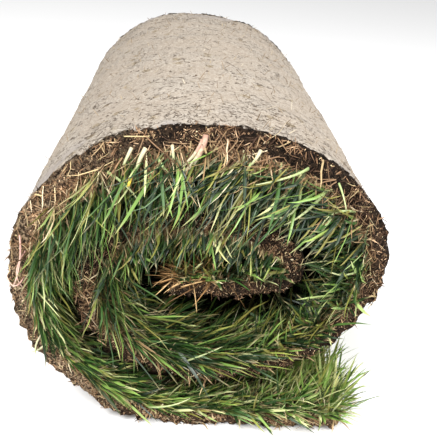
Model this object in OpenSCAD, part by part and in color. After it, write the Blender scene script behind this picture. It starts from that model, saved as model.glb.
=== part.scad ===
// Roll of turf: one strip of soil and roots with living grass on it, rolled up with the grass
// inside, its loose outer end lying flat on the floor.
//
// The roll lies along Y. Seen along +Y, the strip starts at the loose end on the right, runs to
// the left under the roll, up, over the top and down the right side, and on inwards.
// The origin is at the middle of the underside of the whole object, +Z is up.

/* [Strip] */
// Length of the strip, measured in the middle of its soil
strip_l = 1524; // [1270:1:1840]
// Width of the strip, which is the length of the roll
strip_w = 610; // [300:5:1220]
// Thickness of the soil and root mat
soil_t = 18; // [14:0.5:22]
// Height of the grass where nothing presses on it
grass_h = 38; // [28:1:50]

/* [Roll] */
// Turns from the underside of the roll to the inner end of the strip
turns = 2.14; // [1.75:0.01:2.3]
// How much less high than wide the roll is, from its own weight
sag = 30; // [15:1:45]
// How far the underside is pressed flat to the left of the roll's middle
pressed_flat = 33; // [22:1:44]
// How far above its middle height the right side of the outer turn bulges most
right_up = 7; // [0:1:16]
// Length of the strip that lies flat on the floor, up to its loose outer end
flap_l = 160; // [120:1:200]

/* [Room for grass between the turns] */
// Under the roll, between the outer two turns
gap_under = 35; // [29:1:44]
// Under the inner end
gap_core = 68; // [56:1:82]
// Over the second turn
gap_top = 55; // [44:1:64]
// On the left side
gap_left = 40; // [32:1:48]
// On the right side
gap_right = 52; // [42:1:62]
// Clearance of the blade tips from the soil that they face
tip_gap = 2; // [1:0.5:4]

/* [Ends] */
// How far the grass splays past the two cut sides of the strip
splay = 14; // [6:1:25]
// How far the grass hangs past the loose end of the strip
overhang = 30; // [15:1:45]
// Height above the floor that the hanging grass comes down to
overhang_z = 7; // [4:1:12]

/* [Hidden] */

// Degrees of winding for each flat facet
step = 6;
// Rounds of the search for the roll's width, each of which brings it about ten times nearer
width_rounds = 8;
// Points on the rounded edge of the hanging grass
edge_points = 7;
soil_colour = [0.47, 0.38, 0.29];
grass_colour = [0.26, 0.42, 0.16];

turn = 360;
wound = turns * turn;
facets = ceil(wound / step);

// Turns wound at angle a, slowed down near the floor so that each turn is level there.
function level_turns(a) = (a - sin(a) * 180 / PI) / turn;

// The grass face of the soil, at its four extremes, w being the width of the whole roll.
function left_of(a, w) = soil_t - w / 2 + (soil_t + gap_left) * (a - turn / 4) / turn;
function right_of(a, w) = w / 2 - soil_t - (soil_t + gap_right) * (a - turn * 3 / 4) / turn;
function top_of(a, w) = w - sag - soil_t - (soil_t + gap_top) * (a - turn / 2) / turn;
function bottom_of(a) = soil_t + (soil_t + gap_under) * min(1, level_turns(a))
    + (soil_t + gap_core) * max(0, level_turns(a) - 1);

// A point of the grass face: an oval that shrinks with the angle, its start moved to the left
// so that the roll's weight rests on the flat underside.
function face_point(a, w) = let (
        l = left_of(a, w), r = right_of(a, w), t = top_of(a, w), b = bottom_of(a),
        flat = a < turn / 4 ? pressed_flat * (1 - sin(a)) ^ 2 : 0,
        up = a > turn / 2 && a < turn ? right_up * sin(a) ^ 2 : 0
    ) [(l + r) / 2 - (r - l) / 2 * sin(a) - flat, (t + b) / 2 - (t - b) / 2 * cos(a) + up];
function face_curve(w) = [for (i = [0:facets]) face_point(wound * i / facets, w)];

function path_length(p) = sum_of([for (i = [1:len(p) - 1]) norm(p[i] - p[i - 1])]);
function sum_of(v) = v * [for (x = v) 1];
// The middle of the soil lies outside its grass face, so it is longer over each turn.
function wound_length(w) = path_length(face_curve(w)) + soil_t / 2 * wound * PI / 180;
function fit_width(w, rounds) = rounds == 0 ? w
    : fit_width(w + (strip_l - flap_l - wound_length(w)) / (PI * turns), rounds - 1);

// The roll is as wide as it takes to wind up the whole strip.
roll_w = fit_width(strip_l / (PI * turns), width_rounds);

function unit(v) = v / norm(v);
// Points to the soil side of the strip at point i of curve p.
function soil_side(p, i) = let (
        along = unit(p[min(i + 1, len(p) - 1)] - p[max(i - 1, 0)])
    ) [-along[1], along[0]];
function set_off(p, d) = [for (i = [0:len(p) - 1]) p[i] + d * soil_side(p, i)];
function reversed(p) = [for (i = [len(p) - 1:-1:0]) p[i]];

wound_face = face_curve(roll_w);
floor_start = [wound_face[0][0], soil_t];
flap_end = floor_start + [flap_l, 0];
grass_face = concat([flap_end], wound_face);
soil_face = concat([[flap_end[0], 0]], set_off(wound_face, soil_t));
// The limit of the blade tips that meet the soil of the next turn in.
tip_limit = set_off(wound_face, soil_t + tip_gap);

// The inner end of the strip, with room in front of its cut face.
inner_end = wound_face[facets];
onward = unit(inner_end - wound_face[facets - 1]);
round_inner_end = [
    inner_end + tip_gap * onward,
    tip_limit[facets] + tip_gap * onward
];

// The free top of the grass, from where the roll comes down on it to the edge past the flap.
grass_z = soil_t + grass_h;
under_roll = [
    for (i = [facets:-1:0])
        let (a = wound * i / facets)
            if (a >= turn || (a > turn * 3 / 4 && tip_limit[i][1] < grass_z)) tip_limit[i]
];
hanging_edge = [
    for (i = [0:edge_points - 1])
        let (t = 90 * (1 - i / (edge_points - 1)))
            [flap_end[0] + overhang * cos(t), overhang_z + (grass_z - overhang_z) * sin(t)]
];

sward_l = strip_w + 2 * splay;
low_x = min([for (p = soil_face) p[0]]);
high_x = max(flap_end[0] + overhang, max([for (p = soil_face) p[0]]));
middle_x = (low_x + high_x) / 2;

// Extrudes a section of the roll along Y, about the middle of its length.
module along_roll(length) {
    translate([-middle_x, length / 2, 0])
        rotate([90, 0, 0])
            linear_extrude(length)
                children();
}

// The strip's soil, roots and thatch: one cut piece of ground.
module soil_mat() {
    color(soil_colour)
        along_roll(strip_w)
            polygon(concat(soil_face, reversed(grass_face)));
}

// The grass that grows on it, as the one closed shape that its blades fill.
module grass_sward() {
    color(grass_colour)
        along_roll(sward_l)
            polygon(concat(grass_face, round_inner_end, under_roll, hanging_edge));
}

soil_mat();
grass_sward();
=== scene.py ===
"""Roll of turf: a strip of soil and roots wound up with its living grass inside.

The strip is made flat, with X along it from its inner end to its loose end, Y across it and
the grass side up, and is then wound along a spiral path by a Geometry Nodes tree. Blades,
straw and roots are sown on the wound strip by a second tree.
"""

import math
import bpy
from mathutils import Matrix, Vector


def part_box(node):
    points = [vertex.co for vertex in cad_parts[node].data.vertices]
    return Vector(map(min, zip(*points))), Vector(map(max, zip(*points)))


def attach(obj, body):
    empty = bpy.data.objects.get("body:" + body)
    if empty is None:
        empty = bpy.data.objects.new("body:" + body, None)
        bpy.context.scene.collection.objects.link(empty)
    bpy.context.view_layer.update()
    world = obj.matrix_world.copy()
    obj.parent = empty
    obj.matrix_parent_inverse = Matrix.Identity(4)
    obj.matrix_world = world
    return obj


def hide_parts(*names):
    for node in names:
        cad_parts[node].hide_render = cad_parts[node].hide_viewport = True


bl_info = {
    "name": "Roll of Turf",
    "version": (1, 0, 0),
    "blender": (4, 5, 0),
    "location": "3D View > Sidebar > Turf",
    "description": "Makes a rolled strip of turf from soil, roots, straw and living grass",
    "category": "Object",
}

from functools import partialmethod

import bpy
import numpy as np
from bpy.props import FloatProperty, FloatVectorProperty, IntProperty, PointerProperty
from mathutils import Matrix, Vector

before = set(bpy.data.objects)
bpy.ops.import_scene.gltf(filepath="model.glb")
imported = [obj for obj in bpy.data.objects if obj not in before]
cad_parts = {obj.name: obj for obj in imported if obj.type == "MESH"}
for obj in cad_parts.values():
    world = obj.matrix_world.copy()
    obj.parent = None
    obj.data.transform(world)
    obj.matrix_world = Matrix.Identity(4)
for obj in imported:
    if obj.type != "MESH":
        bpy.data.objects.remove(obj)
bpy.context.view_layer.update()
soil_low, soil_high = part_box("soil_mat")

MM = 0.001
GRASS_FACE, SKIN_FACE, NEAR_CUT, FAR_CUT, INNER_CUT, LOOSE_CUT = range(6)
NODE_OF_SLOT = {"soil": "soil_mat", "grass": "grass_sward"}
VECTOR = "FLOAT_VECTOR"

# Degrees wound from the underside of the roll, and how far the blades there lean towards the
# loose end of the strip, as a multiple of how far they stand up from the soil.
LEAN = (
    (-90, 0.2), (-40, 1.0), (0, 2.2), (60, 2.2), (90, 1.6), (120, 1.0), (150, 0.6), (180, 1.0),
    (225, 1.3), (270, 0.4), (320, 0.6), (360, 1.6), (420, 1.3), (450, 1.1), (480, 0.8),
    (540, 0.4), (630, 0.3), (700, 0.9), (780, 1.2),
)
# Degrees wound, and how long the blades there are, as a share of the longest.
TALL = (
    (-90, 1.15), (-30, 0.8), (0, 0.68), (60, 0.75), (100, 1.1), (130, 1.5), (165, 1.65),
    (210, 1.55), (250, 1.1), (320, 0.9), (370, 1.35), (440, 1.35), (480, 0.85), (540, 0.6),
    (620, 0.5), (700, 0.6), (740, 0.45), (775, 0.3),
)
# Degrees wound, and the painted light and shade there: how much lighter or darker the blades and
# the soil's cuts are painted, darker further into the roll and over its top, lighter on the loose
# end. A blade's random tone is raised to the power of one over it, and the colour of the cuts is
# multiplied by it.
PAINTED_LIGHT_AND_SHADE = (
    (-90, 2.0), (-60, 1.6), (-30, 1.2), (0, 1.0), (60, 1.1), (110, 1.0), (150, 0.5),
    (190, 0.33), (230, 0.25), (270, 0.45), (320, 0.5), (360, 0.55), (400, 0.5), (450, 0.42),
    (490, 0.36), (580, 0.35), (680, 0.5), (780, 0.7),
)
# Degrees wound past which the outer skin is rolled in out of sight.
ROLLED_IN = 400

# The strip's points: how far in from an edge they are fine, how far apart there, and elsewhere.
POINTS_ALONG = (12 * MM, 3 * MM, 3.6 * MM)
POINTS_ACROSS = (20 * MM, 2.5 * MM, 11 * MM)
SOIL_LAYERS = 7
# How near a cut or an end the soil is torn back, and how high the crumbs on the cuts stand.
TORN_WITHIN = 14 * MM
CRUMBS = 1.0 * MM
# The least height above the floor of the soil and of the blades.
SOIL_CLEAR = 0.2 * MM
BLADE_CLEAR = 0.4 * MM
# How deep blades are sown from a cut and from the loose end, and how deep they splay outwards.
SOWN_FROM_CUT = 85 * MM
SOWN_FROM_END = 80 * MM
SPLAYED_WITHIN = 45 * MM
# How far blades may reach past the loose end and past a cut, and keep off the soil they face.
ROOM_PAST_END = 44 * MM
ROOM_PAST_CUT = 34 * MM
TIP_CLEAR = 1 * MM

# Colours that only the soil's material uses. The dark of the skin's specks, pits and cracks is
# partly the soil's own and partly painted shade, and the near black of the gaps at the cuts is
# painted shade.
BLEACHED, STAIN, DUST = (0.43, 0.385, 0.33), (0.23, 0.17, 0.09), (0.62, 0.56, 0.475)
SPECK_AND_PIT_SHADE, PALE_ROOT, GAP_SHADE = (0.12, 0.07, 0.036), (0.52, 0.37, 0.23), (0.014, 0.008, 0.005)


# Sizes and colours.


def length(name, default_mm, text):
    """A length that a user may change, given here in millimetres."""
    return FloatProperty(
        name=name, description=text, default=default_mm * MM, unit="LENGTH", precision=4
    )


def colour(name, default, text):
    """A linear colour that a user may change."""
    return FloatVectorProperty(
        name=name, description=text, default=default, subtype="COLOR", size=3, min=0, max=1
    )


class TurfStripSizes(bpy.types.PropertyGroup):
    """The strip and how it is wound."""

    strip_l: length("Strip length", 1524, "Length of the strip in the middle of its soil")
    strip_w: FloatProperty(
        name="Strip width", description="Width of the strip, which is the length of the roll",
        default=soil_high.y - soil_low.y, unit="LENGTH",
    )
    soil_t: length("Soil thickness", 18, "Thickness of the soil and root mat")
    turns: FloatProperty(name="Turns", description="Turns from the underside", default=2.14)
    sag: length("Sag", 30, "How much less high than wide the roll is")
    pressed_flat: length("Pressed flat", 33, "How far the underside is pressed flat")
    right_up: length("Right up", 7, "How far above its middle height the right side bulges most")
    flap_l: length("Loose end", 160, "Length that lies flat on the floor")
    gap_under: length("Gap under", 35, "Grass room between the outer two turns, underneath")
    gap_core: length("Core gap", 68, "Grass room under the inner end")
    gap_top: length("Top gap", 55, "Grass room over the second turn")
    gap_left: length("Left gap", 40, "Grass room on the left side")
    gap_right: length("Right gap", 52, "Grass room on the right side")


class TurfSoilLooks(bpy.types.PropertyGroup):
    """The soil's unevenness and colours."""

    waves: length("Waves", 3.0, "Depth of the broad unevenness of the outer skin")
    pits: length("Pits", 1.6, "Depth of the small pits in the outer skin")
    ragged: length("Ragged cut", 7.0, "How far the cut sides are torn back")
    dry: colour("Dry skin", (0.385, 0.325, 0.262), "Dry outer skin of the soil")
    dry_dark: colour("Dry skin shade", (0.175, 0.135, 0.092), "Darker patches of the dry skin")
    clay: colour("Smeared clay", (0.33, 0.295, 0.27), "Smooth grey clay smeared by the cutter")
    damp: colour("Damp soil", (0.050, 0.028, 0.016), "Damp soil at the cuts")
    damp_light: colour("Crumbs", (0.115, 0.066, 0.036), "Lighter crumbs at the cuts")
    thatch: colour("Thatch", (0.30, 0.18, 0.095), "Matted roots at the cuts")
    dusty: colour("Dry thatch", (0.56, 0.41, 0.26), "Matted roots where the cuts are driest")


class TurfGrassLooks(bpy.types.PropertyGroup):
    """The grass, straw and roots."""

    blade_l: length("Blade length", 50, "Length of the longest blades")
    blade_w: length("Blade width", 2.9, "Width of a blade at its widest")
    per_m2: IntProperty(name="Blades", description="Blades on a square metre", default=62000)
    # The darkest and palest greens are partly painted: the deep green is partly painted shade
    # between blades, and the pale green, besides blades turned pale side out, partly painted
    # highlights.
    deep: colour("Deep green", (0.005, 0.018, 0.006), "Darkest blades")
    mid: colour("Green", (0.036, 0.092, 0.018), "Most blades")
    fresh: colour("Fresh green", (0.21, 0.34, 0.072), "Fresh blades")
    pale: colour("Pale green", (0.56, 0.58, 0.28), "Blades turned pale side out")
    turning: colour("Yellowing", (0.36, 0.31, 0.07), "Blades that turn yellow")
    sheath: colour("Sheath", (0.50, 0.48, 0.24), "Pale foot of a blade")
    straw: colour("Straw", (0.54, 0.42, 0.22), "Dead blades")
    root: colour("Root", (0.29, 0.165, 0.085), "Roots and thatch")


class TurfStage(bpy.types.PropertyGroup):
    """Camera and light."""

    lens: FloatProperty(name="Lens", description="Focal length", default=58.85, unit="CAMERA")
    sky: FloatProperty(name="Sky", description="Strength of the light all round", default=0.8)
    softbox: FloatProperty(
        name="Softbox", description="Power of the large soft light", default=130, unit="POWER"
    )
    floor: colour("Floor", (0.86, 0.86, 0.86), "Plain pale floor")


# Node trees.


class Wire:
    """An output in a node tree that can be reckoned with like a number or a vector."""

    def __init__(self, tree, socket):
        self.tree = tree
        self.socket = socket

    def is_vector(self):
        return self.socket.type in ("VECTOR", "RGBA")

    def join(self, operation, *others):
        wide = self.is_vector() or any(
            isinstance(o, (tuple, Vector)) or (isinstance(o, Wire) and o.is_vector())
            for o in others
        )
        kind = "ShaderNodeVectorMath" if wide else "ShaderNodeMath"
        node = add(self.tree, kind, operation=operation)
        for socket, value in zip(node.inputs, (self, *others)):
            fill(socket, value)
        return Wire(self.tree, node.outputs[0])

    __add__ = partialmethod(join, "ADD")
    __sub__ = partialmethod(join, "SUBTRACT")
    __truediv__ = partialmethod(join, "DIVIDE")
    unit = partialmethod(join, "NORMALIZE")
    cross = partialmethod(join, "CROSS_PRODUCT")
    most = partialmethod(join, "MAXIMUM")
    least = partialmethod(join, "MINIMUM")

    def __mul__(self, other):
        one_wide = self.is_vector() != (isinstance(other, Wire) and other.is_vector())
        if one_wide and not isinstance(other, (tuple, Vector)):
            vector, number = (self, other) if self.is_vector() else (other, self)
            node = add(self.tree, "ShaderNodeVectorMath", operation="SCALE")
            fill(node.inputs[0], vector)
            fill(node.inputs["Scale"], number)
            return Wire(self.tree, node.outputs[0])
        return self.join("MULTIPLY", other)

    def parts(self):
        node = add(self.tree, "ShaderNodeSeparateXYZ")
        fill(node.inputs[0], self)
        return [Wire(self.tree, s) for s in node.outputs]

    def ramp(self, low, high, out_low=0.0, out_high=1.0):
        """Goes smoothly from out_low at low to out_high at high."""
        node = add(self.tree, "ShaderNodeMapRange", interpolation_type="SMOOTHSTEP")
        for socket, value in zip(node.inputs, (self, low, high, out_low, out_high)):
            fill(socket, value)
        return Wire(self.tree, node.outputs[0])


def add(tree, kind, **settings):
    """A new node with the given settings."""
    node = tree.nodes.new(kind)
    for name, value in settings.items():
        setattr(node, name, value)
    return node


def fill(socket, value):
    """Sets an input of a node, or joins an output to it."""
    if isinstance(value, Wire):
        value.tree.links.new(value.socket, socket)
    else:
        if socket.type == "RGBA" and len(value) == 3:
            value = (*value, 1)
        socket.default_value = value


def run(tree, kind, inputs, out=0, **settings):
    """Adds a node, fills its inputs by name or place and gives one of its outputs."""
    node = add(tree, kind, **settings)
    live = [s for s in node.inputs if s.enabled]
    for key, value in inputs.items():
        socket = live[key] if isinstance(key, int) else next(s for s in live if s.name == key)
        fill(socket, value)
    return Wire(tree, [s for s in node.outputs if s.enabled][out])


def vector(tree, x, y, z):
    """A vector from three numbers."""
    return run(tree, "ShaderNodeCombineXYZ", {0: x, 1: y, 2: z})


def noise(place, scale, detail=3.0, rough=0.55, colour_out=False, swirl=0.0):
    """Cloudy noise from 0 to 1 at a place, or three of them at once."""
    return run(
        place.tree, "ShaderNodeTexNoise",
        {"Vector": place, "Scale": scale, "Detail": detail, "Roughness": rough,
         "Distortion": swirl},
        out=1 if colour_out else 0,
    )


def fibres(place, scale, thin=0.05):
    """Winding lines, 1 on a line and 0 off it."""
    level = noise(place, scale, 2.0, 0.6, swirl=1.2) - 0.5
    return level.join("ABSOLUTE").ramp(0.0, thin, 1.0, 0.0)


def spots(place, scale, size, share):
    """Separate small spots, 1 inside and 0 outside, on a share of the cells of a grid."""
    cells = add(place.tree, "ShaderNodeTexVoronoi")
    fill(cells.inputs["Vector"], place)
    fill(cells.inputs["Scale"], scale)
    inside = Wire(place.tree, cells.outputs["Distance"]).ramp(size * 0.7, size * 1.3, 1.0, 0.0)
    picked = Wire(place.tree, cells.outputs["Color"]).parts()[0]
    return inside * (picked + share).ramp(0.99, 1.01)


def chance(seed, shift, low=0.0, high=1.0):
    """A random number for each point, or a random vector where low is one."""
    wide = isinstance(low, tuple)
    return run(
        seed.tree, "FunctionNodeRandomValue", {0: low, 1: high, "Seed": seed + shift},
        data_type=VECTOR if wide else "FLOAT",
    )


def position(tree):
    """The place of each point of the geometry."""
    return run(tree, "GeometryNodeInputPosition", {})


def kept(tree, name, kind="FLOAT"):
    """An attribute that the geometry carries."""
    return run(tree, "GeometryNodeInputNamedAttribute", {"Name": name}, data_type=kind)


def keep(geometry, name, value, kind="FLOAT", domain="POINT"):
    """Stores an attribute on the geometry."""
    return run(
        geometry.tree, "GeometryNodeStoreNamedAttribute",
        {"Geometry": geometry, "Name": name, "Value": value}, data_type=kind, domain=domain,
    )


# Kinds of the trees' inputs, other than plain numbers.
INPUT_KINDS = {
    "Path": "Object", "Soil": "Object", "Blade": "Object", "Side": "Int", "Seed": "Int",
    "Material": "Material",
}


def new_tree(name, *labels):
    """A modifier tree with the named inputs. Gives the tree and a wire for each input."""
    tree = bpy.data.node_groups.new(name, "GeometryNodeTree")
    tree.is_modifier = True
    face = tree.interface
    face.new_socket("Geometry", in_out="INPUT", socket_type="NodeSocketGeometry")
    for label in labels:
        kind = "NodeSocket" + INPUT_KINDS.get(label, "Float")
        face.new_socket(label, in_out="INPUT", socket_type=kind)
    face.new_socket("Geometry", in_out="OUTPUT", socket_type="NodeSocketGeometry")
    given = tree.nodes.new("NodeGroupInput")
    return tree, {s.name: Wire(tree, s) for s in given.outputs if s.name}


def end_tree(tree, geometry, material):
    """Ends a tree in real geometry with its material."""
    real = run(tree, "GeometryNodeRealizeInstances", {0: geometry})
    done = run(tree, "GeometryNodeSetMaterial", {"Geometry": real, "Material": material})
    fill(tree.nodes.new("NodeGroupOutput").inputs[0], done)


def put(name, data):
    """A new object in the scene."""
    thing = bpy.data.objects.new(name, data)
    bpy.context.scene.collection.objects.link(thing)
    return thing


def mesh_of(name, points, faces):
    """A mesh from its points and faces."""
    mesh = bpy.data.meshes.new(name)
    mesh.from_pydata(points, [], faces)
    return mesh


def grow(name, mesh, tree, values):
    """A plain mesh piece: what the tree makes of the mesh with these values."""
    seedling = put(name, mesh)
    modifier = seedling.modifiers.new(tree.name, "NODES")
    modifier.node_group = tree
    for item in tree.interface.items_tree:
        if item.in_out == "INPUT" and item.name in values:
            modifier[item.identifier] = values[item.name]
    bpy.context.view_layer.update()
    graph = bpy.context.evaluated_depsgraph_get()
    made = bpy.data.meshes.new_from_object(
        seedling.evaluated_get(graph), preserve_all_data_layers=True, depsgraph=graph
    )
    seedling.modifiers.remove(modifier)
    seedling.data = made
    made.name = name
    if not made.polygons:
        raise RuntimeError(f"{name} came out empty")
    return seedling


def clear(*objects):
    """Removes objects that only helped to make others."""
    for thing in objects:
        bpy.data.objects.remove(thing, do_unlink=True)


def settle(piece, slot):
    """Puts a finished piece in the frame: it rides on the root, and the part it stands for is
    hidden.
    """
    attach(piece, "root")
    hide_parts(NODE_OF_SLOT[slot])


# The spiral.


class Spiral:
    """The line that the grass face of the strip follows, from its inner end to its loose end."""

    # Degrees for each facet when the width is found, and when the line is drawn.
    step = 6.0
    fine_step = 2.0
    width_rounds = 8

    def __init__(self, sizes):
        self.s = sizes
        self.wound = sizes.turns * 360
        width = sizes.strip_l / (math.pi * sizes.turns)
        for _ in range(self.width_rounds):
            run_l = self.run_length(self.curve(width, self.step))
            run_l += sizes.soil_t / 2 * math.radians(self.wound)
            width += (sizes.strip_l - sizes.flap_l - run_l) / (math.pi * sizes.turns)
        self.width = width
        face = self.curve(width, self.fine_step)
        face.insert(0, (face[0][0] + sizes.flap_l, sizes.soil_t))
        points = np.array(face)[::-1]
        degrees = np.linspace(0, self.wound, len(face) - 1).tolist()
        self.degrees = np.array([-90.0] + degrees)[::-1]
        outer = points[:, 0].min() - sizes.soil_t
        points[:, 0] += soil_low.x - outer
        self.points = points
        steps = np.linalg.norm(np.diff(points, axis=0), axis=1)
        self.lengths = np.concatenate([[0], np.cumsum(steps)])
        self.total = float(self.lengths[-1])

    @staticmethod
    def run_length(points):
        return float(np.linalg.norm(np.diff(np.array(points), axis=0), axis=1).sum())

    def curve(self, width, step):
        count = math.ceil(self.wound / step)
        return [self.face_point(self.wound * i / count, width) for i in range(count + 1)]

    def face_point(self, a, width):
        """A point of the grass face, a degrees from the underside of the roll."""
        s = self.s
        sin, cos = math.sin(math.radians(a)), math.cos(math.radians(a))
        level = (a - math.degrees(sin)) / 360
        left = s.soil_t - width / 2 + (s.soil_t + s.gap_left) * (a - 90) / 360
        right = width / 2 - s.soil_t - (s.soil_t + s.gap_right) * (a - 270) / 360
        top = width - s.sag - s.soil_t - (s.soil_t + s.gap_top) * (a - 180) / 360
        bottom = s.soil_t + (s.soil_t + s.gap_under) * min(1, level)
        bottom += (s.soil_t + s.gap_core) * max(0, level - 1)
        flat = s.pressed_flat * (1 - sin) ** 2 if a < 90 else 0
        up = s.right_up * sin**2 if 180 < a < 360 else 0
        return (
            (left + right) / 2 - (right - left) / 2 * sin - flat,
            (top + bottom) / 2 - (top - bottom) / 2 * cos + up,
        )

    def turn_at(self, along):
        """Degrees wound from the underside at a length from the inner end."""
        return np.interp(along, self.lengths, self.degrees)

    def length_at(self, degrees):
        """Length from the inner end at degrees wound from the underside."""
        return float(np.interp(degrees, self.degrees[::-1], self.lengths[::-1]))

    def place(self, degrees, rise, out):
        """The place at degrees wound, at a rise above the grass face, past the near cut."""
        along = self.length_at(degrees)
        x, z = (np.interp([along - MM, along, along + MM], self.lengths, self.points[:, i])
                for i in range(2))
        onward = Vector((x[2] - x[0], z[2] - z[0])).normalized()
        middle = Vector((x[1], z[1])) + rise * Vector((-onward.y, onward.x))
        return middle.x, -self.s.strip_w / 2 - out, middle.y

    def as_curve(self):
        """The line as a curve object for the trees to follow."""
        data = bpy.data.curves.new("spiral", "CURVE")
        data.dimensions = "3D"
        spline = data.splines.new("POLY")
        spline.points.add(len(self.points) - 1)
        for point, (x, z) in zip(spline.points, self.points):
            point.co = (x, 0, z, 1)
        return put("spiral", data)


def follow(tree, path, along):
    """Place, direction and grass side of the spiral at a length along it."""
    curve = run(tree, "GeometryNodeObjectInfo", {"Object": path}, out=4)
    node = add(tree, "GeometryNodeSampleCurve", mode="LENGTH", use_all_curves=True)
    fill(node.inputs["Curves"], curve)
    fill(node.inputs["Length"], along)
    place = Wire(tree, node.outputs["Position"])
    onward = Wire(tree, node.outputs["Tangent"])
    return place, onward, onward.cross((0.0, 1.0, 0.0)).unit()


# Soil.


def block_mesh(name, along, across, into):
    """A closed flat block with a row of points at each given place, and each face's side."""
    shape = (len(along), len(across), len(into))
    surface = np.zeros(shape, bool)
    for axis in range(3):
        for end in (0, -1):
            surface[tuple(end if a == axis else slice(None) for a in range(3))] = True
    number = np.full(shape, -1)
    number[surface] = np.arange(surface.sum())
    grid = np.stack(np.meshgrid(along, across, into, indexing="ij"), -1)
    quads, sides = [], []
    for layer, side, turned in (
        (number[:, :, -1], GRASS_FACE, False), (number[:, :, 0], SKIN_FACE, True),
        (number[:, 0, :], NEAR_CUT, False), (number[:, -1, :], FAR_CUT, True),
        (number[0, :, :], INNER_CUT, True), (number[-1, :, :], LOOSE_CUT, False),
    ):
        ring = [layer[:-1, :-1], layer[1:, :-1], layer[1:, 1:], layer[:-1, 1:]]
        ring = ring[::-1] if turned else ring
        faces = np.stack(ring, -1).reshape(-1, 4)
        quads.append(faces)
        sides.append(np.full(len(faces), side))
    mesh = mesh_of(name, grid[surface].tolist(), np.concatenate(quads).tolist())
    mark = mesh.attributes.new("side", "INT", "FACE")
    mark.data.foreach_set("value", np.concatenate(sides).astype(np.int32))
    return mesh, grid[surface]


def spaced(low, high, edge, fine, coarse):
    """Places from low to high, close together within edge of either end."""
    margin = np.linspace(0, edge, round(edge / fine) + 1)
    middle = np.linspace(low + edge, high - edge, round((high - low - 2 * edge) / coarse) + 1)
    return np.concatenate([low + margin, middle[1:-1], high - margin[::-1]])


def flat_strip(sizes, spiral):
    """The strip before it is wound, with how its blades lean and how long they are, and the
    painted light and shade of its blades and cuts.
    """
    half = sizes.strip_w / 2
    along = spaced(0, spiral.total, *POINTS_ALONG)
    across = spaced(-half, half, *POINTS_ACROSS)
    into = np.linspace(-sizes.soil_t, 0, SOIL_LAYERS)
    mesh, places = block_mesh("flat_strip", along, across, into)
    for name, table in (("lean", LEAN), ("tall", TALL), ("shade", PAINTED_LIGHT_AND_SHADE)):
        values = np.interp(spiral.turn_at(places[:, 0]), *zip(*table))
        mesh.attributes.new(name, "FLOAT", "POINT").data.foreach_set("value", values)
    return mesh


def winding_tree():
    """Winds a flat strip along a spiral, and makes its skin uneven and its cuts ragged."""
    tree, given = new_tree(
        "Wind the strip", "Path", "Strip width", "Strip length", "Soil thickness", "Waves",
        "Pits", "Ragged cut", "Material",
    )
    shaped = keep(given["Geometry"], "strip", position(tree), VECTOR)
    strip = kept(tree, "strip", VECTOR)
    x, y, z = strip.parts()
    side = y.join("SIGN")
    from_cut = given["Strip width"] * 0.5 - y.join("ABSOLUTE")
    from_end = x.least(given["Strip length"] - x)
    depth = z * -1.0 / given["Soil thickness"]
    outer = depth.ramp(0.35, 1.0)
    place, onward, grass_side = follow(tree, given["Path"], x)
    # Torn back at the cut sides and the two ends, most near the skin.
    near_cut = from_cut.ramp(0.0, TORN_WITHIN, 1.0, 0.0)
    near_end = from_end.ramp(0.0, TORN_WITHIN, 1.0, 0.0)
    torn = noise(strip, 60.0, 4.0, 0.7) * 0.45 + noise(strip, 170.0, 3.0, 0.8) * 0.55
    torn = torn.ramp(0.36, 0.64)
    back = given["Ragged cut"] * torn * (outer * 0.7 + 0.3)
    y_new = y - side * back * near_cut
    x_new = near_end * back
    x_sign = (x - given["Strip length"] * 0.5).join("SIGN") * -1.0
    # The skin swells and sinks about the strip's outline.
    broad = noise(strip, 14.0, 2.0, 0.5).ramp(0.3, 0.7)
    small = noise(strip, 120.0, 3.0, 0.6).ramp(0.35, 0.68)
    edge = near_cut.most(near_end)
    eaten = (broad - 0.5) * given["Waves"] + (small - 0.3) * given["Pits"]
    eaten = eaten + edge * (torn - 0.35) * given["Ragged cut"] * 0.45
    crumble = noise(strip, 180.0, 3.0, 0.7) - 0.5
    z_new = z + outer * eaten + crumble * CRUMBS * (outer * -1.0 + 1.0)
    wound = place + grass_side * z_new + onward * (x_new * x_sign) + vector(tree, 0.0, y_new, 0.0)
    wx, wy, wz = wound.parts()
    above_floor = vector(tree, wx, wy, wz.most(SOIL_CLEAR))
    moved = run(tree, "GeometryNodeSetPosition", {"Geometry": shaped, "Position": above_floor})
    smooth = run(tree, "GeometryNodeSetShadeSmooth", {"Geometry": moved})
    end_tree(tree, smooth, given["Material"])
    return tree


# Blades, straw and roots.


def blade_mesh(name, rings, keel):
    """One upright blade with a three-cornered section: width, keel and height are kept apart."""
    points, faces = [], []
    for height, width in rings[:-1]:
        points += [(-width, 0, height), (0, -keel * width, height), (width, 0, height)]
    points.append((0, 0, rings[-1][0]))
    tip = len(points) - 1
    for ring in range(len(rings) - 2):
        a = ring * 3
        for i in range(3):
            j = (i + 1) % 3
            faces.append((a + i, a + j, a + 3 + j, a + 3 + i))
    last = tip - 3
    faces += [(last + i, last + (i + 1) % 3, tip) for i in range(3)]
    faces.append((2, 1, 0))
    return put(name, mesh_of(name, points, faces))


def eased(value, limit, room):
    """The value, brought softly to less than the room past a limit."""
    past = (value - limit).most(0.0)
    return value - past + (past / room).join("TANH") * room


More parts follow.
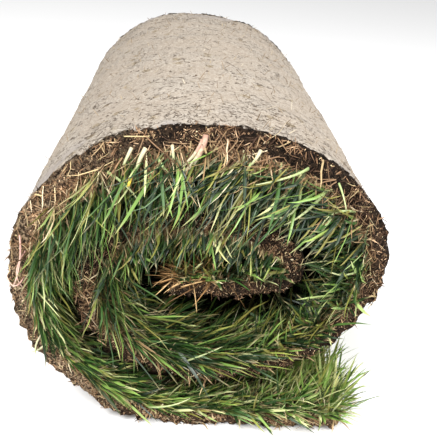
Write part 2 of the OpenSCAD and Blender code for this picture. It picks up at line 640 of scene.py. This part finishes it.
def sowing_tree():
    """Sows one kind of blade or root on one side of the wound strip."""
    tree, given = new_tree(
        "Sow the strip", "Soil", "Path", "Blade", "Side", "End", "Strip width", "Loose end",
        "Depth", "From", "To", "Density", "Length", "Shortest", "Width", "Upright", "Lean",
        "Outward", "Droop", "Wildness", "Clumps", "Bend", "Curl", "Sunk", "Lift", "Deepest",
        "Seed", "Material",
    )
    soil = run(tree, "GeometryNodeObjectInfo", {"Object": given["Soil"]}, out=4)
    seed = given["Seed"]
    strip = kept(tree, "strip", VECTOR)
    x, y = strip.parts()[:2]
    depth = given["Strip width"] * 0.5 - y * given["End"]
    share = (depth / given["Depth"]).ramp(0.25, 1.0, 1.0, 0.0)
    inside = x.join("GREATER_THAN", given["From"]) * x.join("LESS_THAN", given["To"])
    patchy = noise(strip, 50.0, 2.0).ramp(0.40, 0.58, 0.2, 1.1)
    on_side = kept(tree, "side", "INT").join("COMPARE", given["Side"], 0.1)
    points = run(tree, "GeometryNodeDistributePointsOnFaces", {
        "Mesh": soil, "Selection": on_side,
        "Density": given["Density"] * share * inside * patchy, "Seed": seed,
    })
    root = position(tree)
    _, onward, grass_side = follow(tree, given["Path"], x)
    clump = noise(strip, 55.0, 1.0, 0.5, colour_out=True) - (0.5,) * 3
    wild = chance(seed, 11, (-1.0,) * 3, (1.0,) * 3) * given["Wildness"]
    wild = wild + clump * given["Clumps"]
    wilder = chance(seed, 12, (-1.0,) * 3, (1.0,) * 3)
    out = vector(tree, 0.0, given["End"] * given["Outward"], 0.0)
    # Blades that stand up from below are held by their neighbours and fall over less.
    held = grass_side.parts()[2].ramp(-0.5, 0.7, 1.0, 0.1)
    out = out * (depth.ramp(0.0, SPLAYED_WITHIN, 1.0, 0.25) * chance(seed, 13, 0.2, 1.0))
    out = out * (held * 0.6 + 0.4)
    lean = onward * (kept(tree, "lean") * given["Lean"] * chance(seed, 14, 0.5, 1.25))
    up = grass_side * given["Upright"]
    first = (up + lean * 0.35 + out * 0.5 + wild * 0.6).unit()
    fall = vector(tree, 0.0, 0.0, given["Droop"] * -1.0) * (held * chance(seed, 15))
    reach = (up + lean + out + fall + wild).unit()
    long = given["Length"] * kept(tree, "tall") * chance(seed, 16, given["Shortest"], 1.0)
    hit = run(tree, "GeometryNodeRaycast", {
        "Target Geometry": soil, "Source Position": root + grass_side * given["Lift"],
        "Ray Direction": reach, "Ray Length": long,
    })
    room = Wire(tree, hit.socket.node.outputs["Hit Distance"]) - TIP_CLEAR
    long = long * (hit * -1.0 + 1.0) + room.least(long) * hit
    across = first.cross(reach).unit() + wilder * 0.5
    across = across.cross(reach).cross(reach).unit() * given["Width"] * 0.5
    across = across * chance(seed, 17, 0.5, 1.15)
    bend = given["Bend"] * chance(seed, 19, 0.3, 1.4)
    aim = (first * bend + reach * (bend * -1.0 + 1.0)).unit() * (long * 0.55)
    for name, value in {
        "root": root - grass_side * given["Sunk"], "aim": aim, "reach": reach * long,
        "across": across, "wave": wilder * long * given["Curl"],
    }.items():
        points = keep(points, name, value, VECTOR)
    # The random tone, with the painted light and shade of the strip where it grows: darker
    # further into the roll, lighter on the loose end. The tone is carried to the colours of the
    # blades, straw and roots.
    tone = chance(seed, 18, given["Deepest"], 1.0)
    tone = tone.join("POWER", kept(tree, "shade").join("POWER", -1.0))
    points = keep(points, "tone", tone)
    points = keep(points, "spice", chance(seed, 20))
    blade = run(tree, "GeometryNodeObjectInfo", {"Object": given["Blade"]}, out=4)
    blade = keep(blade, "blade", position(tree), VECTOR)
    sown = run(tree, "GeometryNodeInstanceOnPoints", {"Points": points, "Instance": blade})
    sown = run(tree, "GeometryNodeRealizeInstances", {0: sown})
    first_root, aim, far, width, wave, local = (
        kept(tree, name, VECTOR) for name in ("root", "aim", "reach", "across", "wave", "blade")
    )
    side, keel, t = local.parts()
    keel_way = width.cross(far.unit())
    bent = aim * (t * 2.0 * (t * -1.0 + 1.0)) + far * (t * t)
    ripple = wave * (t * (2 * math.pi)).join("SINE")
    px, py, pz = (first_root + bent + ripple + width * side + keel_way * keel).parts()
    px = eased(px, given["Loose end"], ROOM_PAST_END)
    from_middle = eased(py.join("ABSOLUTE"), given["Strip width"] * 0.5, ROOM_PAST_CUT)
    place = vector(tree, px, py.join("SIGN") * from_middle, pz.most(BLADE_CLEAR))
    sown = run(tree, "GeometryNodeSetPosition", {"Geometry": sown, "Position": place})
    for name in (
        "root", "aim", "reach", "across", "wave", "lean", "tall", "shade", "strip", "side",
    ):
        sown = run(tree, "GeometryNodeRemoveAttribute", {"Geometry": sown, "Name": name})
    end_tree(tree, sown, given["Material"])
    return tree


# Materials.


def new_material(name, roughness, specular):
    """A material with its shader, ready for its colour, and a tree to work in."""
    material = bpy.data.materials.new(name)
    material.use_nodes = True
    tree = material.node_tree
    shader = tree.nodes["Principled BSDF"]
    shader.inputs["Roughness"].default_value = roughness
    shader.inputs["Specular IOR Level"].default_value = specular
    return material, tree, shader


def blend(amount, first, second):
    """The first colour turning into the second as amount goes from 0 to 1."""
    node = add(amount.tree, "ShaderNodeMix", data_type="RGBA")
    for name, value in (("Factor_Float", amount), ("A_Color", first), ("B_Color", second)):
        fill(next(s for s in node.inputs if s.identifier == name), value)
    return Wire(amount.tree, next(s for s in node.outputs if s.identifier == "Result_Color"))


def painted(under, *coats):
    """A colour under coats of others, each with how much of it shows, from 0 to 1."""
    for amount, coat in coats:
        under = blend(amount, under, coat)
    return under


def carried(tree, name, out=2):
    """An attribute of the mesh in a material: 1 for a vector, 2 for a number."""
    return Wire(tree, add(tree, "ShaderNodeAttribute", attribute_name=name).outputs[out])


def surface_place(tree):
    """The place of a point of the surface, in a material."""
    return Wire(tree, add(tree, "ShaderNodeTexCoord").outputs["Object"])


def bump(shader, height, distance):
    """Raises the surface by a height from 0 to 1, times the distance."""
    inputs = {"Strength": 1.0, "Distance": distance, "Height": height}
    fill(shader.inputs["Normal"], run(height.tree, "ShaderNodeBump", inputs))


def soil_material(looks, sizes, spiral):
    """Dry pale skin outside, and at the cuts damp soil with holes, matted with roots. Painted
    shade darkens the holes at the cuts, the pits and cracks of the skin, the cuts further into
    the roll and the rolled-in skin.
    """
    material, tree, shader = new_material("soil", 0.95, 0.15)
    place = surface_place(tree)
    x, y, z = carried(tree, "strip", 1).parts()
    # Painted shade: how much darker the cuts are painted further into the roll.
    shade = carried(tree, "shade")
    from_cut = y.join("ABSOLUTE") * -1.0 + sizes.strip_w / 2
    broad = noise(place, 22.0, 3.0, 0.6)
    mottle = noise(place, 110.0, 4.0, 0.65)
    fine = noise(place, 420.0, 4.0, 0.7)
    skin = z.ramp(-sizes.soil_t + 1.2 * MM, -sizes.soil_t + 3.2 * MM, 1.0, 0.0)
    broken = from_cut - mottle.ramp(0.35, 0.65, 0.5 * MM, 10 * MM)
    skin = skin * broken.ramp(0.0, 2.5 * MM)
    # Small dark specks, pits and short cracks, closer together towards the cuts: their dark is
    # partly the soil's own colour and partly painted shade in the pits and cracks.
    many = from_cut.ramp(0.0, 130 * MM, 0.05, 0.0) + broad.ramp(0.35, 0.65, -0.02, 0.03)
    torn = place + (noise(place, 260.0, 2.0, colour_out=True) - (0.5,) * 3) * (9 * MM)
    specks = spots(torn, 130.0, 0.19, many * 4.0 + 0.12)
    specks = specks.most(spots(torn, 240.0, 0.27, many * 4.0 + 0.15) * 0.8)
    cracks = fibres(place, 75.0, 0.03) * (mottle + many * 3.0).ramp(0.56, 0.62)
    stains = spots(torn, 60.0, 0.3, 0.2)
    smear = noise(place, 17.0, 1.0, 0.4).ramp(0.55, 0.62)
    smear = smear * from_cut.ramp(14 * MM, 70 * MM, 1.0, 0.0)
    holes = specks.most(cracks) * (smear * -0.8 + 1.0)
    dry = painted(
        looks.dry,
        (mottle.ramp(0.5, 0.70) * 0.4, looks.dry_dark),
        (broad.ramp(0.4, 0.65) * 0.5, BLEACHED),
        (stains * 0.7, STAIN),
        (fine.ramp(0.5, 0.62) * 0.45, DUST),
        (fine.ramp(0.47, 0.37) * 0.3, looks.dry_dark),
        (smear * 0.85, looks.clay),
        (holes * 0.8, SPECK_AND_PIT_SHADE),
    )
    # The left side has dried out palest.
    low, high = spiral.length_at(165), spiral.length_at(15)
    dried = x.ramp(low, low + 80 * MM) * x.ramp(high - 80 * MM, high, 1.0, 0.0)
    dried = dried * broad.ramp(0.35, 0.6, 0.35, 1.0) * fine.ramp(0.42, 0.55)
    # Gaps between the crumbs at the cuts: sunk by the bump, and painted near black as painted
    # shade inside them.
    gaps = noise(place, 150.0, 5.0, 0.8, swirl=1.5).ramp(0.50, 0.56)
    roots = fibres(place, 130.0, 0.035).most(fibres(place, 230.0, 0.045) * 0.8)
    roots = roots * mottle.ramp(0.42, 0.58, 0.1, 1.0)
    damp = painted(
        looks.damp,
        (fine.ramp(0.4, 0.7), looks.damp_light),
        (dried * 0.8, looks.dusty),
        (roots * 0.8, blend(fine.ramp(0.4, 0.6), looks.thatch, PALE_ROOT)),
        (gaps * 0.9, GAP_SHADE),
    )
    # Painted shade: the cuts are multiplied by the shade of the strip, darker further into the
    # roll. They are also darkest just inside the skin, and matted and paler towards the grass.
    damp = damp * shade * z.ramp(-sizes.soil_t + 2 * MM, -sizes.soil_t * 0.4, 0.75, 0.92)
    # Painted shade: the skin is darker where it is rolled in, out of the light.
    dry = dry * x.ramp(spiral.length_at(ROLLED_IN), spiral.length_at(340), 0.45, 0.8)
    fill(shader.inputs["Base Color"], blend(skin, damp, dry))
    even = (fine * 0.45 - holes + mottle * 0.5) * (smear * -0.7 + 1.0)
    rough = roots * 0.9 - gaps * 0.9 + fine * 0.8
    height = even * skin + rough * (skin * -1.0 + 1.0)
    bump(shader, height, 2.4 * MM)
    return material


def blade_material(looks):
    """Living blades: deep to fresh green, pale at the foot, with a lighter midrib."""
    material, tree, shader = new_material("grass", 0.42, 0.45)
    tone, spice = carried(tree, "tone"), carried(tree, "spice")
    side, _, along = carried(tree, "blade", 1).parts()
    foot = along.ramp(0.04, 0.36, 1.0, 0.0)
    tip = along.ramp(0.75, 1.0) * spice.ramp(0.5, 0.2)
    rib = side.join("ABSOLUTE").ramp(0.0, 0.35, 1.0, 0.0)
    # The tone carries painted light and shade. The darkest blades are partly painted shade and
    # the palest partly painted highlights.
    green = painted(
        looks.deep,
        (tone.ramp(0.15, 0.55), looks.mid),
        (tone.ramp(0.55, 0.8), looks.fresh),
        (tone.ramp(0.84, 0.96), looks.pale),
        (foot * spice.ramp(0.3, 0.9, 0.15, 0.9), looks.sheath),
        (spice.ramp(0.84, 0.92) * 0.55, looks.turning),
        (tip * 0.6, looks.straw),
        (rib * 0.1, looks.fresh),
    )
    fill(shader.inputs["Base Color"], green)
    return material


def straw_material(name, base, pale, dark):
    """Dead blades and roots: one brown to pale range, mottled."""
    material, tree, shader = new_material(name, 0.75, 0.25)
    # The tone carries the painted shade of the strip where each piece grows: darker further into
    # the roll.
    tone = carried(tree, "tone")
    mottle = noise(surface_place(tree), 300.0, 2.0)
    shade = painted(
        dark, (tone.ramp(0.0, 0.6), base), (tone.ramp(0.6, 1.0), pale),
        (mottle.ramp(0.5, 0.8) * 0.5, dark),
    )
    fill(shader.inputs["Base Color"], shade)
    return material


# Operators.


class TURF_OT_soil(bpy.types.Operator):
    """Make the soil mat: the strip, wound up, with its skin and ragged cuts"""

    bl_idname = "turf.soil"
    bl_label = "Soil mat"

    def execute(self, context):
        sizes, looks = context.scene.turf_strip, context.scene.turf_soil
        spiral = Spiral(sizes)
        path = spiral.as_curve()
        piece = grow("turf_soil", flat_strip(sizes, spiral), winding_tree(), {
            "Path": path, "Strip width": sizes.strip_w, "Strip length": spiral.total,
            "Soil thickness": sizes.soil_t, "Waves": looks.waves, "Pits": looks.pits,
            "Ragged cut": looks.ragged, "Material": soil_material(looks, sizes, spiral),
        })
        clear(path)
        settle(piece, "soil")
        return {"FINISHED"}


# Shapes of blade: a name, each height with its half width from foot to tip, and the keel.
LONG = ((0, 0.55), (0.4, 1.0), (0.78, 0.72), (1, 0))
SHORT = ((0, 0.8), (0.5, 1.0), (1, 0))
BLADE = ("blade", LONG, 0.35)
STRAW = ("straw", LONG, 0.5)
SHEATH = ("sheath", LONG, 0.6)
CHAFF = ("chaff", SHORT, 0.8)
ROOT_HAIR = ("root", SHORT, 1.2)
STUB = ("stub", ((0, 1.0), (0.35, 0.9), (0.7, 0.7), (1, 0)), 0.7)


def sow(context, name, shape, slot="grass", **settings):
    """One piece of blades of one shape sown on the wound strip, with inputs of the tree."""
    sizes, looks = context.scene.turf_strip, context.scene.turf_grass
    spiral = Spiral(sizes)
    path, blade = spiral.as_curve(), blade_mesh(*shape)
    tree = bpy.data.node_groups.get("Sow the strip") or sowing_tree()
    values = {
        "Soil": bpy.data.objects["turf_soil"], "Path": path, "Blade": blade,
        "Side": GRASS_FACE, "End": 0.0, "Strip width": sizes.strip_w, "Depth": 10.0,
        "Loose end": float(spiral.points[-1, 0]), "From": 0.0, "To": spiral.total,
        "Length": looks.blade_l, "Shortest": 0.5, "Width": looks.blade_w, "Upright": 1.0,
        "Lean": 1.0, "Outward": 0.0, "Droop": 0.35, "Wildness": 0.9, "Clumps": 1.2,
        "Bend": 0.6, "Curl": 0.0, "Sunk": 1.5 * MM, "Lift": 3 * MM, "Deepest": 0.0,
    }
    for key, value in settings.items():
        values[key] = value(spiral) if callable(value) else value
    piece = grow(name, bpy.data.meshes.new(name), tree, values)
    clear(path, blade)
    settle(piece, slot)


class TURF_OT_blades(bpy.types.Operator):
    """Sow the living grass at both cut ends and on the loose end"""

    bl_idname = "turf.blades"
    bl_label = "Blades"

    def execute(self, context):
        looks = context.scene.turf_grass
        green = blade_material(looks)
        for name, end, seed, full in (("near", -1.0, 3, 1.0), ("far", 1.0, 40, 0.8)):
            sow(
                context, f"grass_{name}_end", BLADE, End=end, Depth=SOWN_FROM_CUT, Outward=0.5,
                Seed=seed, Density=looks.per_m2 * full, Material=green,
            )
            sow(
                context, f"grass_{name}_edge", BLADE, End=end, Depth=22 * MM, Outward=1.6,
                Seed=seed + 500, Length=looks.blade_l * 1.3, Shortest=0.35, Droop=1.1,
                Bend=0.7, Density=looks.per_m2 * 5.0 * full, Material=green,
            )
        sow(
            context, "grass_loose_end", BLADE, From=lambda line: line.total - SOWN_FROM_END,
            Seed=80, Length=looks.blade_l * 1.1, Wildness=0.5, Droop=-0.1, Deepest=0.4,
            Density=looks.per_m2 * 1.4, Material=green,
        )
        return {"FINISHED"}


class TURF_OT_straw(bpy.types.Operator):
    """Strew the dead blades between the living ones"""

    bl_idname = "turf.straw"
    bl_label = "Straw"

    def execute(self, context):
        looks = context.scene.turf_grass
        dead = straw_material("straw", looks.straw, (0.78, 0.70, 0.48), (0.27, 0.17, 0.08))
        rusty, pale, orange = (straw_material(*dry) for dry in (
            ("thatch", (0.27, 0.155, 0.075), (0.60, 0.44, 0.26), (0.07, 0.038, 0.018)),
            ("sheaths", (0.30, 0.24, 0.12), (0.66, 0.60, 0.38), (0.10, 0.065, 0.03)),
            ("dry_tuft", (0.36, 0.20, 0.075), (0.60, 0.40, 0.19), (0.11, 0.055, 0.02)),
        ))
        for name, end, seed in (("near_end", -1.0, 120), ("far_end", 1.0, 160)):
            sow(
                context, "straw_" + name, STRAW, End=end, Depth=45 * MM, Outward=0.8, Seed=seed,
                Length=looks.blade_l * 0.85, Shortest=0.25, Width=looks.blade_w * 0.5,
                Density=looks.per_m2 * 1.5, Wildness=1.1, Curl=0.02, Material=dead,
            )
            sow(
                context, "sheaths_" + name, SHEATH, End=end, Depth=16 * MM, Outward=0.9,
                Seed=seed + 10, Length=27 * MM, Shortest=0.3, Width=2.8 * MM, Upright=0.9,
                Lean=0.5, Density=110000.0 if end < 0 else 60000.0, Wildness=0.6,
                Material=pale,
            )
            sow(
                context, "thatch_" + name, CHAFF, End=end, Depth=26 * MM, Outward=1.1,
                Seed=seed + 20, Length=26 * MM, Shortest=0.2, Width=1.6 * MM, Upright=0.7,
                Lean=0.3, Density=330000.0 if end < 0 else 200000.0, Wildness=1.0, Curl=0.05,
                Material=rusty,
            )
        sow(
            context, "dry_tuft", STRAW, End=-1.0, Depth=30 * MM, To=50 * MM, Outward=1.5,
            Seed=190, Length=85 * MM, Shortest=0.2, Width=1.2 * MM, Lean=-0.8, Upright=0.5,
            Density=looks.per_m2 * 8.0, Wildness=1.2, Droop=1.0, Material=orange,
        )
        return {"FINISHED"}


class TURF_OT_roots(bpy.types.Operator):
    """Put the root ends and thatch on the cut faces"""

    bl_idname = "turf.roots"
    bl_label = "Roots"

    def execute(self, context):
        looks = context.scene.turf_grass
        brown = straw_material("roots", looks.root, (0.66, 0.45, 0.27), (0.05, 0.025, 0.014))
        pale = straw_material("stubble", looks.straw, (0.74, 0.62, 0.42), (0.22, 0.13, 0.07))
        for name, side, end, seed, few in (
            ("near_cut", NEAR_CUT, -1.0, 200, 1.0), ("far_cut", FAR_CUT, 1.0, 240, 0.5),
        ):
            sow(
                context, "roots_" + name, ROOT_HAIR, "soil", Side=side, End=end, Outward=0.5,
                Seed=seed, Upright=0.3, Lean=0.0, Length=9 * MM, Shortest=0.2,
                Width=0.9 * MM, Density=650000 * few, Wildness=1.1, Curl=0.1, Sunk=0.0,
                Material=brown,
            )
            sow(
                context, "stubble_" + name, STUB, "soil", Side=side, End=end, Outward=0.6,
                Seed=seed + 20, Upright=0.6, Lean=0.0, Length=20 * MM, Shortest=0.3,
                Width=1.5 * MM, Density=120000 * few, Curl=0.03, Sunk=0.0, Material=pale,
            )
        return {"FINISHED"}


def litter(context):
    """Fine fibres and crumbs that lie on the outer skin."""
    dusty = straw_material("litter", (0.36, 0.29, 0.19), (0.66, 0.58, 0.44), (0.20, 0.14, 0.08))
    sow(
        context, "litter_on_skin", CHAFF, "soil", Side=SKIN_FACE,
        From=lambda line: line.length_at(ROLLED_IN), Seed=300, Length=8 * MM, Shortest=0.15,
        Width=0.8 * MM, Upright=-0.1, Lean=0.0, Droop=0.0, Wildness=1.0, Clumps=0.0, Bend=0.5,
        Curl=0.05, Sunk=-0.2 * MM, Lift=-3 * MM, Density=5000.0, Material=dusty,
    )


# How many rings a stalk has from foot to tip, and how many points each ring.
STALK_RINGS = 7
STALK_SIDES = 6


def tubes(name, lines, flat):
    """Closed tapering stalks, each bent from its first place by its second to its third."""
    points, faces, steps, sides = [], [], STALK_RINGS, STALK_SIDES
    for start, middle, end, thick, thin in lines:
        start, middle, end = Vector(start), Vector(middle), Vector(end)
        middle = middle * 2 - (start + end) / 2
        first = len(points)
        for i in range(steps):
            t = i / (steps - 1)
            place = start * (1 - t) ** 2 + middle * 2 * t * (1 - t) + end * t * t
            onward = ((middle - start) * (1 - t) + (end - middle) * t).normalized()
            wide = onward.cross(Vector((0, 1, 0))).normalized()
            high = wide.cross(onward) * flat
            radius = thick + (thin - thick) * t
            for k in range(sides):
                turn = 2 * math.pi * k / sides
                points.append(place + (wide * math.cos(turn) + high * math.sin(turn)) * radius)
        for i in range(steps - 1):
            for k in range(sides):
                a, b = first + i * sides + k, first + i * sides + (k + 1) % sides
                faces.append((a, b, b + sides, a + sides))
        faces.append(tuple(range(first + sides - 1, first - 1, -1)))
        faces.append(tuple(range(len(points) - sides, len(points))))
    mesh = mesh_of(name, points, faces)
    share = mesh.attributes.new("share", "FLOAT", "POINT")
    one = np.repeat(np.linspace(0, 1, steps), sides)
    share.data.foreach_set("value", np.tile(one, len(lines)))
    mesh.shade_smooth()
    return put(name, mesh)


def shaded_stalk(name, foot, tip):
    """A stalk that goes from one colour at its foot to another at its tip."""
    material, tree, shader = new_material(name, 0.5, 0.4)
    streaks = noise(surface_place(tree), 380.0, 3.0).ramp(0.35, 0.65, -0.25, 0.25)
    share = carried(tree, "share") + streaks
    fill(shader.inputs["Base Color"], blend(share.ramp(0.1, 0.9), foot, tip))
    return material


# Single stalks at the near end: degrees wound, rise above the grass face and reach past the
# cut, in millimetres, at the foot, the bend and the tip, and how thick each is there.
STALKS = {
    "stem": (0.8, "grass", (0.37, 0.22, 0.16), (0.50, 0.47, 0.30), (
        ((173, -11, 3), (171, 3, 10), (166, 17, 12), 2.5, 1.7),
        ((172, -8, 5), (169, 4, 11), (164, 14, 11), 1.5, 1.0),
    )),
    "stubs": (0.7, "grass", (0.50, 0.44, 0.29), (0.42, 0.46, 0.24), (
        ((151, -8, 4), (149, -3, 8), (147, 2, 8), 1.6, 0.9),
        ((155, -5, 4), (152, 3, 9), (150, 11, 10), 2.0, 1.0),
        ((163, -4, 4), (163, 2, 8), (163, 8, 8), 1.5, 1.0),
        ((190, -6, 4), (189, 1, 8), (188, 7, 8), 1.7, 1.0),
        ((60, -3, 3), (60, -9, 8), (60, -16, 7), 1.3, 0.5),
        ((64, -2, 3), (62, -9, 9), (59, -14, 8), 1.0, 0.5),
    )),
    "runners": (1.0, "soil", (0.58, 0.34, 0.28), (0.66, 0.46, 0.36), (
        ((103, -12, 2), (94, -6, 7), (84, -12, 3), 0.8, 0.6),
        ((98, -4, 2), (90, -8, 6), (83, -3, 2), 0.7, 0.5),
        ((88, -2, 2), (85, -10, 6), (88, -17, 3), 0.6, 0.5),
    )),
    "pale_blades": (0.25, "grass", (0.30, 0.38, 0.15), (0.50, 0.53, 0.28), (
        ((207, -6, 4), (201, 5, 14), (191, 19, 16), 1.5, 0.5),
        ((225, 6, 6), (227, 29, 16), (229, 53, 12), 1.6, 0.4),
        ((233, -2, 4), (225, 10, 13), (225, 26, 14), 1.1, 0.4),
        ((219, -9, 4), (223, -4, 9), (229, 3, 9), 0.9, 0.5),
        ((217, 2, 6), (214, 24, 16), (210, 43, 13), 1.7, 0.5),
        ((208, 12, 10), (209, 30, 16), (201, 44, 13), 1.5, 0.4),
        ((188, 5, 8), (186, 21, 13), (184, 33, 12), 1.3, 0.5),
        ((158, 4, 8), (163, 24, 15), (171, 42, 12), 1.4, 0.4),
        ((141, 3, 6), (146, 20, 14), (147, 38, 11), 1.4, 0.4),
        ((112, 2, 6), (108, 19, 13), (99, 33, 9), 1.3, 0.4),
        ((12, 4, 6), (2, 16, 14), (-8, 22, 10), 1.3, 0.4),
        ((372, 3, 6), (364, 18, 14), (352, 26, 10), 1.3, 0.4),
        ((262, 4, 6), (266, 22, 14), (262, 42, 10), 1.3, 0.4),
    )),
    "yellow_leaf": (0.3, "grass", (0.70, 0.46, 0.04), (0.70, 0.54, 0.08), (
        ((148, 12, 14), (147, 15, 17), (146, 18, 15), 1.6, 0.8),
    )),
}


class TURF_OT_stalks(bpy.types.Operator):
    """Add the few single stems, runners and pale blades at the near end, and the litter"""

    bl_idname = "turf.stalks"
    bl_label = "Stalks and litter"

    def execute(self, context):
        spiral = Spiral(context.scene.turf_strip)
        for name, (flat, slot, foot, tip, lines) in STALKS.items():
            places = [
                (*(spiral.place(a, rise * MM, out * MM) for a, rise, out in line[:3]),
                 line[3] * MM, line[4] * MM)
                for line in lines
            ]
            piece = tubes(name, places, flat)
            piece.data.materials.append(shaded_stalk(name, foot, tip))
            settle(piece, slot)
        litter(context)
        return {"FINISHED"}


FLOOR_REACH = 6.0
FLOOR_DROP = 0.5 * MM
# Soft lights: name, place, size and share of the softbox's power, all turned to one place.
LIGHTS = (("softbox", (-0.8, -1.8, 2.1), 1.0, 0.85), ("fill", (1.5, -0.8, 1.3), 1.4, 0.3))
LIT_PLACE = Vector((0, 0, 0.1))
CAMERA_PLACE = (-0.0315, -0.848, 0.4564)
# The ways to the camera's right, up and back.
CAMERA_AXES = (
    (0.99651, -0.03685, 0.07489), (-0.05334, 0.40892, 0.91101), (-0.0642, -0.91183, 0.40552),
)


class TURF_OT_stage(bpy.types.Operator):
    """Set the floor, the light and the camera"""

    bl_idname = "turf.stage"
    bl_label = "Stage"

    def execute(self, context):
        stage, scene = context.scene.turf_stage, context.scene
        corners = [
            (x * FLOOR_REACH, y * FLOOR_REACH, -FLOOR_DROP)
            for x, y in ((-1, -1), (1, -1), (1, 1), (-1, 1))
        ]
        floor = put("floor", mesh_of("floor", corners, [(0, 1, 2, 3)]))
        material, _, shader = new_material("floor", 0.9, 0.1)
        shader.inputs["Base Color"].default_value = (*stage.floor, 1)
        floor.data.materials.append(material)
        world = bpy.data.worlds.new("sky")
        world.use_nodes = True
        sky = world.node_tree.nodes["Background"]
        sky.inputs["Color"].default_value = (1, 1, 1, 1)
        sky.inputs["Strength"].default_value = stage.sky
        scene.world = world
        for name, place, size, power in LIGHTS:
            light = bpy.data.lights.new(name, "AREA")
            light.size = size
            light.energy = stage.softbox * power
            lamp = put(name, light)
            lamp.location = place
            towards = LIT_PLACE - Vector(place)
            lamp.rotation_euler = towards.to_track_quat("-Z", "Y").to_euler()
        camera = put("camera", bpy.data.cameras.new("camera"))
        camera.data.lens = stage.lens
        camera.data.clip_start = 0.01
        turned = Matrix(CAMERA_AXES).transposed().to_4x4()
        camera.matrix_world = Matrix.Translation(CAMERA_PLACE) @ turned
        scene.camera = camera
        scene.view_settings.view_transform = "Standard"
        return {"FINISHED"}


class TURF_PT_panel(bpy.types.Panel):
    """Sizes and looks of the roll of turf, and a button for each of its pieces"""

    bl_label = "Roll of Turf"
    bl_idname = "TURF_PT_panel"
    bl_space_type = "VIEW_3D"
    bl_region_type = "UI"
    bl_category = "Turf"

    def draw(self, context):
        for group in ("turf_strip", "turf_soil", "turf_grass", "turf_stage"):
            box = self.layout.box()
            values = getattr(context.scene, group)
            for name in type(values).__annotations__:
                box.prop(values, name)
        for step in STEPS:
            self.layout.operator(step.bl_idname)


GROUPS = {
    "turf_strip": TurfStripSizes, "turf_soil": TurfSoilLooks,
    "turf_grass": TurfGrassLooks, "turf_stage": TurfStage,
}
STEPS = (
    TURF_OT_soil, TURF_OT_blades, TURF_OT_straw, TURF_OT_roots, TURF_OT_stalks, TURF_OT_stage,
)


def register():
    """Adds the sizes, the operators and the panel."""
    for name, group in GROUPS.items():
        bpy.utils.register_class(group)
        setattr(bpy.types.Scene, name, PointerProperty(type=group))
    for part in (*STEPS, TURF_PT_panel):
        bpy.utils.register_class(part)


def unregister():
    """Takes them away again."""
    for part in reversed((*STEPS, TURF_PT_panel)):
        bpy.utils.unregister_class(part)
    for name, group in GROUPS.items():
        delattr(bpy.types.Scene, name)
        bpy.utils.unregister_class(group)


def main():
    """Makes every piece in order."""
    register()
    for step in STEPS:
        family, name = step.bl_idname.split(".")
        getattr(getattr(bpy.ops, family), name)()


if __name__ == "__main__":
    main()
